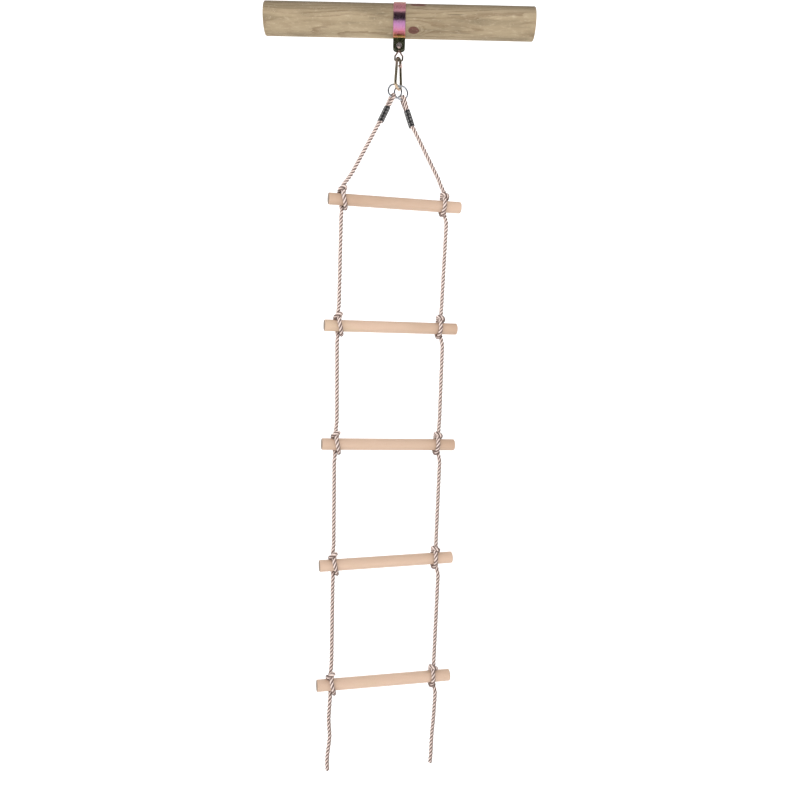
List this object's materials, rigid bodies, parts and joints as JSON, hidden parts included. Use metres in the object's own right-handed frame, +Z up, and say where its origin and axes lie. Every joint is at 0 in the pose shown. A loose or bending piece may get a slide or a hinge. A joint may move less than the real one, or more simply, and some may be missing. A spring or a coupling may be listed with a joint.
{
  "type": "rope ladder",
  "caption": "Rope ladder with wooden rungs hitched into two twisted ropes, hung by rings and a snap hook from a strap clamp on a round timber beam.",
  "frame": {"origin": "the middle of the beam's axis, straight above the clamp bolt", "axes": "+X along the beam, +Z up, the ladder hangs down -Z and is seen from -Y; it hangs turned 13 degrees about Z"},
  "size_m": [0.79, 0.1256, 2.2462],
  "materials": {
    "beam_wood": "weathered, matt, with knots",
    "rung_wood": "sanded smooth, satin",
    "strap_zinc": "yellow-passivated zinc with rainbow tints",
    "bolt_zinc": "bright zinc",
    "nylon": "natural nylon",
    "link_zinc": "yellow-passivated zinc, dark",
    "hook_zinc": "yellow-passivated zinc, golden",
    "rivet_zinc": "bright zinc with a pink tint",
    "ring_zinc": "bright zinc",
    "rope": "three-strand twist in pale beige and brown",
    "sleeve_black": "satin black"
  },
  "bodies": {
    "root": {"beam": "beam_wood", "clamp_strap": "strap_zinc", "clamp_bolt": "bolt_zinc", "bolt_washers": "bolt_zinc", "clamp_nut": "bolt_zinc", "bolt_bush": "nylon"},
    "link": {"delta_link": "link_zinc"},
    "hook": {"hook_body": "hook_zinc", "gate_rivet": "rivet_zinc"},
    "gate": {"hook_gate": "hook_zinc", "gate_plunger": "rivet_zinc", "gate_spring": "rivet_zinc"},
    "rings": {"ring_left": "ring_zinc", "ring_right": "ring_zinc"},
    "bay_1": {"sleeve_left": "sleeve_black", "sleeve_right": "sleeve_black", "rope_left_1": "rope", "rope_right_1": "rope", "rung_1": "rung_wood"},
    "bay_2": {"rope_left_2": "rope", "rope_right_2": "rope", "rung_2": "rung_wood"},
    "bay_3": {"rope_left_3": "rope", "rope_right_3": "rope", "rung_3": "rung_wood"},
    "bay_4": {"rope_left_4": "rope", "rope_right_4": "rope", "rung_4": "rung_wood"},
    "bay_5": {"rope_left_5": "rope", "rope_right_5": "rope", "rung_5": "rung_wood"},
    "tail_l": {"tail_left": "rope"},
    "tail_r": {"tail_right": "rope"}
  },
  "joints": [
    {"name": "link_swing", "type": "hinge", "parent": "root", "child": "link", "pos_m": [0, 0, -0.075], "axis": [0, 1, 0], "range_deg": [-45, 45]},
    {"name": "hook_swing", "type": "hinge", "parent": "link", "child": "hook", "pos_m": [0, 0, -0.1158], "axis": [1, 0, 0], "range_deg": [-50, 50]},
    {"name": "gate_open", "type": "hinge", "parent": "hook", "child": "gate", "pos_m": [0.00536, 0.01008, -0.12777], "axis": [-0.8829, 0.4695, 0], "range_deg": [0, 25], "stiffness_Nm_per_rad": 0.08, "springref_deg": -22.92},
    {"name": "ladder_twist", "type": "hinge", "parent": "hook", "child": "rings", "pos_m": [0, 0, -0.1995], "axis": [0, 0, 1], "range_deg": [-40, 4]},
    {"name": "top_swing", "type": "hinge", "parent": "rings", "child": "bay_1", "pos_m": [-0.00111, -0.0003, -0.22662], "axis": [0.8993, 0.4366, -0.0245], "range_deg": [-24, 24]},
    {"name": "bay_2_fold", "type": "hinge", "parent": "bay_1", "child": "bay_2", "pos_m": [-0.00193, -0.00044, -0.58502], "axis": [-0.9743, -0.2249, -0.0105], "range_deg": [-60, 60]},
    {"name": "bay_3_fold", "type": "hinge", "parent": "bay_2", "child": "bay_3", "pos_m": [-0.00565, -0.0013, -0.95003], "axis": [0.9743, 0.2249, 0.014], "range_deg": [-60, 60]},
    {"name": "bay_4_fold", "type": "hinge", "parent": "bay_3", "child": "bay_4", "pos_m": [-0.00625, -0.00144, -1.295], "axis": [-0.9744, -0.225, -0.0017], "range_deg": [-60, 60]},
    {"name": "bay_5_fold", "type": "hinge", "parent": "bay_4", "child": "bay_5", "pos_m": [-0.00349, -0.00081, -1.64006], "axis": [0.9737, 0.2248, 0.0384], "range_deg": [-60, 60]},
    {"name": "tail_left_swing", "type": "hinge", "parent": "bay_5", "child": "tail_l", "pos_m": [-0.15883, -0.03667, -1.99308], "axis": [0.9744, 0.225, 0], "range_deg": [-60, 60]},
    {"name": "tail_right_swing", "type": "hinge", "parent": "bay_5", "child": "tail_r", "pos_m": [0.14999, 0.03463, -1.987], "axis": [0.9744, 0.225, 0], "range_deg": [-60, 60]}
  ]
}
